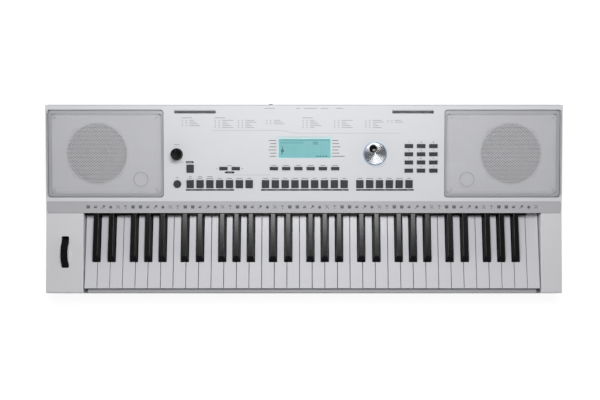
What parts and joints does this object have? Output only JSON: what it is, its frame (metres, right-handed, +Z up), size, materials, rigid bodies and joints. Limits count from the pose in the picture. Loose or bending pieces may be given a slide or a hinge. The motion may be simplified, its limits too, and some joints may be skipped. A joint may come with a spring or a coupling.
{
  "type": "arranger keyboard",
  "caption": "Portable white arranger keyboard with full-size keys, stereo speakers, a lit display, a data dial, a pitch wheel and rows of panel buttons.",
  "frame": {"origin": "middle of the part's box in plan, level with the undersides of the feet", "axes": "+X to the player's right along the keys, +Y from the player to the back, +Z up"},
  "size_m": [0.9616, 0.35, 0.1112],
  "materials": {
    "white_abs": "white ABS, finely grained from the mould",
    "grey_abs": "grey ABS strip with a satin face",
    "slip_grey": "grey ABS rail, satin",
    "key_white": "polished white key plastic",
    "key_black": "black key plastic with a soft shine",
    "button_grey": "dark grey rubber-touch button plastic",
    "knob_black": "black moulded plastic",
    "grille_metal": "perforated steel, painted light grey",
    "spun_aluminium": "spun aluminium with circular cut lines",
    "light_ring": "clear pale blue light guide",
    "window": "clear acrylic",
    "display": "lit liquid crystal panel",
    "board": "solder-masked glass-fibre board",
    "socket_black": "black moulded socket body",
    "steel": "plated steel",
    "basket": "pressed steel, black paint",
    "paper": "pressed paper cone",
    "rubber": "soft black rubber",
    "contact_rubber": "silicone contact sheet",
    "felt": "wool felt",
    "chassis": "glass-filled moulded frame"
  },
  "bodies": {
    "case": {"top_case": "white_abs", "bottom_case": "white_abs", "left_end_block": "white_abs", "right_end_block": "white_abs", "icon_strip": "grey_abs", "key_slip": "slip_grey", "rubber_feet": "rubber", "case_screws": "steel", "speaker_grilles": "grille_metal", "speaker_frames": "basket", "speaker_cones": "paper", "grille_screws": "steel", "display_window": "window", "display_module": "display", "panel_board": "board", "tact_switches": "socket_black", "dial_light_ring": "light_ring", "dial_encoder": "steel", "potentiometers": "steel", "bend_bracket": "chassis", "rear_jack_plate": "knob_black", "rear_bay_frame": "knob_black", "audio_jacks": "socket_black", "power_inlet": "socket_black", "usb_socket": "steel", "main_board": "board", "key_chassis": "chassis", "key_felt": "felt", "key_contact_board": "board", "contact_rubber": "contact_rubber"},
    "octave_1_keys_cegb": {"octave_1_keys_cegb": "key_white"},
    "octave_1_keys_dfa": {"octave_1_keys_dfa": "key_white"},
    "octave_1_keys_black": {"octave_1_keys_black": "key_black"},
    "octave_2_keys_cegb": {"octave_2_keys_cegb": "key_white"},
    "octave_2_keys_dfa": {"octave_2_keys_dfa": "key_white"},
    "octave_2_keys_black": {"octave_2_keys_black": "key_black"},
    "octave_3_keys_cegb": {"octave_3_keys_cegb": "key_white"},
    "octave_3_keys_dfa": {"octave_3_keys_dfa": "key_white"},
    "octave_3_keys_black": {"octave_3_keys_black": "key_black"},
    "octave_4_keys_cegb": {"octave_4_keys_cegb": "key_white"},
    "octave_4_keys_dfa": {"octave_4_keys_dfa": "key_white"},
    "octave_4_keys_black": {"octave_4_keys_black": "key_black"},
    "octave_5_keys_cegb": {"octave_5_keys_cegb": "key_white"},
    "octave_5_keys_dfa": {"octave_5_keys_dfa": "key_white"},
    "octave_5_keys_black": {"octave_5_keys_black": "key_black"},
    "top_c_key": {"top_c_key": "key_white"},
    "power_button": {"power_button": "button_grey"},
    "left_button_strip": {"left_button_strip": "button_grey"},
    "centre_button_strip": {"centre_button_strip": "button_grey"},
    "right_button_strip": {"right_button_strip": "button_grey"},
    "upper_square_button": {"upper_square_button": "button_grey"},
    "tempo_down_button": {"tempo_down_button": "button_grey"},
    "tempo_up_button": {"tempo_up_button": "button_grey"},
    "display_button_strip": {"display_button_strip": "button_grey"},
    "keypad": {"keypad": "button_grey"},
    "volume_knob": {"volume_knob": "knob_black"},
    "data_dial": {"data_dial": "spun_aluminium", "dial_finger_cup": "knob_black"},
    "mic_level_knob": {"mic_level_knob": "knob_black"},
    "pitch_wheel": {"pitch_wheel": "knob_black"}
  },
  "joints": [
    {"name": "octave_1_keys_cegb_press", "type": "hinge", "parent": "case", "child": "octave_1_keys_cegb", "pos_m": [-0.32685, 0.01003, 0.047], "axis": [1, 0, 0], "range_deg": [0, 3.2], "stiffness_Nm_per_rad": 4.5, "springref_deg": -3.21},
    {"name": "octave_1_keys_dfa_press", "type": "hinge", "parent": "case", "child": "octave_1_keys_dfa", "pos_m": [-0.32685, 0.01003, 0.054], "axis": [1, 0, 0], "range_deg": [0, 3.2], "stiffness_Nm_per_rad": 4.5, "springref_deg": -3.21},
    {"name": "octave_1_keys_black_press", "type": "hinge", "parent": "case", "child": "octave_1_keys_black", "pos_m": [-0.32685, 0.01003, 0.064], "axis": [1, 0, 0], "range_deg": [0, 4], "stiffness_Nm_per_rad": 4.5, "springref_deg": -3.21},
    {"name": "octave_2_keys_cegb_press", "type": "hinge", "parent": "case", "child": "octave_2_keys_cegb", "pos_m": [-0.16165, 0.01003, 0.047], "axis": [1, 0, 0], "range_deg": [0, 3.2], "stiffness_Nm_per_rad": 4.5, "springref_deg": -3.21},
    {"name": "octave_2_keys_dfa_press", "type": "hinge", "parent": "case", "child": "octave_2_keys_dfa", "pos_m": [-0.16165, 0.01003, 0.054], "axis": [1, 0, 0], "range_deg": [0, 3.2], "stiffness_Nm_per_rad": 4.5, "springref_deg": -3.21},
    {"name": "octave_2_keys_black_press", "type": "hinge", "parent": "case", "child": "octave_2_keys_black", "pos_m": [-0.16165, 0.01003, 0.064], "axis": [1, 0, 0], "range_deg": [0, 4], "stiffness_Nm_per_rad": 4.5, "springref_deg": -3.21},
    {"name": "octave_3_keys_cegb_press", "type": "hinge", "parent": "case", "child": "octave_3_keys_cegb", "pos_m": [0.00355, 0.01003, 0.047], "axis": [1, 0, 0], "range_deg": [0, 3.2], "stiffness_Nm_per_rad": 4.5, "springref_deg": -3.21},
    {"name": "octave_3_keys_dfa_press", "type": "hinge", "parent": "case", "child": "octave_3_keys_dfa", "pos_m": [0.00355, 0.01003, 0.054], "axis": [1, 0, 0], "range_deg": [0, 3.2], "stiffness_Nm_per_rad": 4.5, "springref_deg": -3.21},
    {"name": "octave_3_keys_black_press", "type": "hinge", "parent": "case", "child": "octave_3_keys_black", "pos_m": [0.00355, 0.01003, 0.064], "axis": [1, 0, 0], "range_deg": [0, 4], "stiffness_Nm_per_rad": 4.5, "springref_deg": -3.21},
    {"name": "octave_4_keys_cegb_press", "type": "hinge", "parent": "case", "child": "octave_4_keys_cegb", "pos_m": [0.16875, 0.01003, 0.047], "axis": [1, 0, 0], "range_deg": [0, 3.2], "stiffness_Nm_per_rad": 4.5, "springref_deg": -3.21},
    {"name": "octave_4_keys_dfa_press", "type": "hinge", "parent": "case", "child": "octave_4_keys_dfa", "pos_m": [0.16875, 0.01003, 0.054], "axis": [1, 0, 0], "range_deg": [0, 3.2], "stiffness_Nm_per_rad": 4.5, "springref_deg": -3.21},
    {"name": "octave_4_keys_black_press", "type": "hinge", "parent": "case", "child": "octave_4_keys_black", "pos_m": [0.16875, 0.01003, 0.064], "axis": [1, 0, 0], "range_deg": [0, 4], "stiffness_Nm_per_rad": 4.5, "springref_deg": -3.21},
    {"name": "octave_5_keys_cegb_press", "type": "hinge", "parent": "case", "child": "octave_5_keys_cegb", "pos_m": [0.33395, 0.01003, 0.047], "axis": [1, 0, 0], "range_deg": [0, 3.2], "stiffness_Nm_per_rad": 4.5, "springref_deg": -3.21},
    {"name": "octave_5_keys_dfa_press", "type": "hinge", "parent": "case", "child": "octave_5_keys_dfa", "pos_m": [0.33395, 0.01003, 0.054], "axis": [1, 0, 0], "range_deg": [0, 3.2], "stiffness_Nm_per_rad": 4.5, "springref_deg": -3.21},
    {"name": "octave_5_keys_black_press", "type": "hinge", "parent": "case", "child": "octave_5_keys_black", "pos_m": [0.33395, 0.01003, 0.064], "axis": [1, 0, 0], "range_deg": [0, 4], "stiffness_Nm_per_rad": 4.5, "springref_deg": -3.21},
    {"name": "top_c_key_press", "type": "hinge", "parent": "case", "child": "top_c_key", "pos_m": [0.42835, 0.01003, 0.047], "axis": [1, 0, 0], "range_deg": [0, 3.2], "stiffness_Nm_per_rad": 1.6, "springref_deg": -3.21},
    {"name": "power_button_press", "type": "slide", "parent": "case", "child": "power_button", "axis": [0, 0.165, -0.9863], "range_m": [0, 0.001], "stiffness_N_per_m": 900, "springref_m": -0.0008},
    {"name": "left_button_strip_press", "type": "slide", "parent": "case", "child": "left_button_strip", "axis": [0, 0.165, -0.9863], "range_m": [0, 0.001], "stiffness_N_per_m": 900, "springref_m": -0.0008},
    {"name": "centre_button_strip_press", "type": "slide", "parent": "case", "child": "centre_button_strip", "axis": [0, 0.165, -0.9863], "range_m": [0, 0.001], "stiffness_N_per_m": 900, "springref_m": -0.0008},
    {"name": "right_button_strip_press", "type": "slide", "parent": "case", "child": "right_button_strip", "axis": [0, 0.165, -0.9863], "range_m": [0, 0.001], "stiffness_N_per_m": 900, "springref_m": -0.0008},
    {"name": "upper_square_button_press", "type": "slide", "parent": "case", "child": "upper_square_button", "axis": [0, 0.165, -0.9863], "range_m": [0, 0.001], "stiffness_N_per_m": 900, "springref_m": -0.0008},
    {"name": "tempo_down_button_press", "type": "slide", "parent": "case", "child": "tempo_down_button", "axis": [0, 0.165, -0.9863], "range_m": [0, 0.001], "stiffness_N_per_m": 900, "springref_m": -0.0008},
    {"name": "tempo_up_button_press", "type": "slide", "parent": "case", "child": "tempo_up_button", "axis": [0, 0.165, -0.9863], "range_m": [0, 0.001], "stiffness_N_per_m": 900, "springref_m": -0.0008},
    {"name": "display_button_strip_press", "type": "slide", "parent": "case", "child": "display_button_strip", "axis": [0, 0.165, -0.9863], "range_m": [0, 0.001], "stiffness_N_per_m": 900, "springref_m": -0.0008},
    {"name": "keypad_press", "type": "slide", "parent": "case", "child": "keypad", "axis": [0, 0.165, -0.9863], "range_m": [0, 0.001], "stiffness_N_per_m": 900, "springref_m": -0.0008},
    {"name": "volume_turn", "type": "hinge", "parent": "case", "child": "volume_knob", "pos_m": [-0.2362, 0.08053, 0.09504], "axis": [0, -0.165, 0.9863], "range_deg": [-150, 150]},
    {"name": "data_dial_turn", "type": "hinge", "parent": "case", "child": "data_dial", "pos_m": [0.1317, 0.08162, 0.09522], "axis": [0, -0.165, 0.9863], "continuous": true},
    {"name": "mic_level_turn", "type": "hinge", "parent": "case", "child": "mic_level_knob", "pos_m": [-0.062, 0.17157, 0.09527], "axis": [0, 1, 0], "range_deg": [-150, 150]},
    {"name": "pitch_wheel_turn", "type": "hinge", "parent": "case", "child": "pitch_wheel", "pos_m": [-0.4448, -0.09947, 0.04485], "axis": [1, 0, 0], "range_deg": [-40, 40], "stiffness_Nm_per_rad": 0.4}
  ]
}
